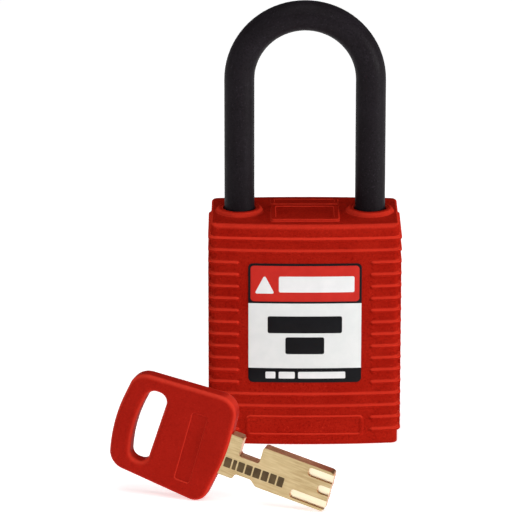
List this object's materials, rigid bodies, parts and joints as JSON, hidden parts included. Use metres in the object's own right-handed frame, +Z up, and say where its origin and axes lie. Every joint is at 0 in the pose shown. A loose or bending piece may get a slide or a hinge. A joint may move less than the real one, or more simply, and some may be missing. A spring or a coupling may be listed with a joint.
{
  "type": "safety padlock",
  "caption": "Compact safety padlock with ribbed moulded body, plain round shackle, bottom keyway and a loose key beside it.",
  "frame": {"origin": "middle of the body's bottom face, at the mouth of the keyway", "axes": "+Z up along the shackle legs, +X to the right seen from the front label, front label facing -Y"},
  "size_m": [0.0602, 0.0626, 0.0947],
  "materials": {
    "red_nylon": "moulded nylon with a fine grain, slightly glossy on the edges",
    "black_nylon": "matte moulded nylon",
    "key_nylon": "moulded nylon with a fine grain",
    "label_print": "printed polyester label, satin",
    "grey_nylon": "glass-filled nylon",
    "brass": "machined brass, lightly brushed",
    "steel": "bright steel",
    "zinc": "die-cast zinc, satin",
    "spring_steel": "drawn spring wire"
  },
  "bodies": {
    "lock_body": {"body_shell": "red_nylon", "front_label": "label_print", "back_label": "label_print", "lower_core": "grey_nylon", "upper_core": "grey_nylon", "bottom_cap": "red_nylon", "cap_screws": "steel", "cylinder_housing": "brass", "cylinder_retaining_pin": "steel", "shackle_retaining_pin": "steel", "shackle_spring": "spring_steel"},
    "plug_assembly": {"plug": "brass", "plug_retaining_clip": "spring_steel", "side_bars": "brass", "tailpiece": "zinc", "cam_disc": "steel", "cam_screw": "steel", "slider_spring_1": "spring_steel", "slider_spring_2": "spring_steel", "slider_spring_3": "spring_steel", "slider_spring_4": "spring_steel", "slider_spring_5": "spring_steel", "slider_spring_6": "spring_steel"},
    "bolt_left": {"locking_bolt_left": "steel"},
    "bolt_right": {"locking_bolt_right": "steel"},
    "shackle_body": {"shackle": "black_nylon"},
    "key_body": {"key_blade": "brass", "key_bow": "key_nylon"},
    "slider_body_1": {"slider_1": "brass"},
    "slider_body_2": {"slider_2": "brass"},
    "slider_body_3": {"slider_3": "brass"},
    "slider_body_4": {"slider_4": "brass"},
    "slider_body_5": {"slider_5": "brass"},
    "slider_body_6": {"slider_6": "brass"}
  },
  "joints": [
    {"name": "plug_turn", "type": "hinge", "parent": "lock_body", "child": "plug_assembly", "pos_m": [0, 0, 0], "axis": [0, 0, 1], "range_deg": [0, 90]},
    {"name": "shackle_lift", "type": "slide", "parent": "lock_body", "child": "shackle_body", "axis": [0, 0, 1], "range_m": [0, 0.0138], "deforming": ["shackle_spring"]},
    {"name": "left_bolt_draw", "type": "slide", "parent": "lock_body", "child": "bolt_left", "axis": [1, 0, 0], "range_m": [0, 0.0027]},
    {"name": "right_bolt_draw", "type": "slide", "parent": "lock_body", "child": "bolt_right", "axis": [-1, 0, 0], "range_m": [0, 0.0027]},
    {"name": "key_lift", "type": "slide", "parent": "lock_body", "child": "key_body", "axis": [0, 0, 1], "range_m": [0, 0.04]},
    {"name": "slider_1_push", "type": "slide", "parent": "plug_assembly", "child": "slider_body_1", "axis": [0, 0, 1], "range_m": [0, 0.0034], "stiffness_N_per_m": 20, "springref_m": -0.002, "deforming": ["slider_spring_1"]},
    {"name": "slider_2_push", "type": "slide", "parent": "plug_assembly", "child": "slider_body_2", "axis": [0, 0, 1], "range_m": [0, 0.0062], "stiffness_N_per_m": 20, "springref_m": -0.002, "deforming": ["slider_spring_2"]},
    {"name": "slider_3_push", "type": "slide", "parent": "plug_assembly", "child": "slider_body_3", "axis": [0, 0, 1], "range_m": [0, 0.001], "stiffness_N_per_m": 20, "springref_m": -0.002, "deforming": ["slider_spring_3"]},
    {"name": "slider_4_push", "type": "slide", "parent": "plug_assembly", "child": "slider_body_4", "axis": [0, 0, 1], "range_m": [0, 0.0034], "stiffness_N_per_m": 20, "springref_m": -0.002, "deforming": ["slider_spring_4"]},
    {"name": "slider_5_push", "type": "slide", "parent": "plug_assembly", "child": "slider_body_5", "axis": [0, 0, 1], "range_m": [0, 0.0062], "stiffness_N_per_m": 20, "springref_m": -0.002, "deforming": ["slider_spring_5"]},
    {"name": "slider_6_push", "type": "slide", "parent": "plug_assembly", "child": "slider_body_6", "axis": [0, 0, 1], "range_m": [0, 0.001], "stiffness_N_per_m": 20, "springref_m": -0.002, "deforming": ["slider_spring_6"]}
  ],
  "couplings": [
    {"joint": "plug_turn", "follows": "shackle_lift", "rad_per_m": 113.83},
    {"joint": "left_bolt_draw", "follows": "shackle_lift", "ratio": 0.19565},
    {"joint": "right_bolt_draw", "follows": "shackle_lift", "ratio": 0.19565}
  ]
}
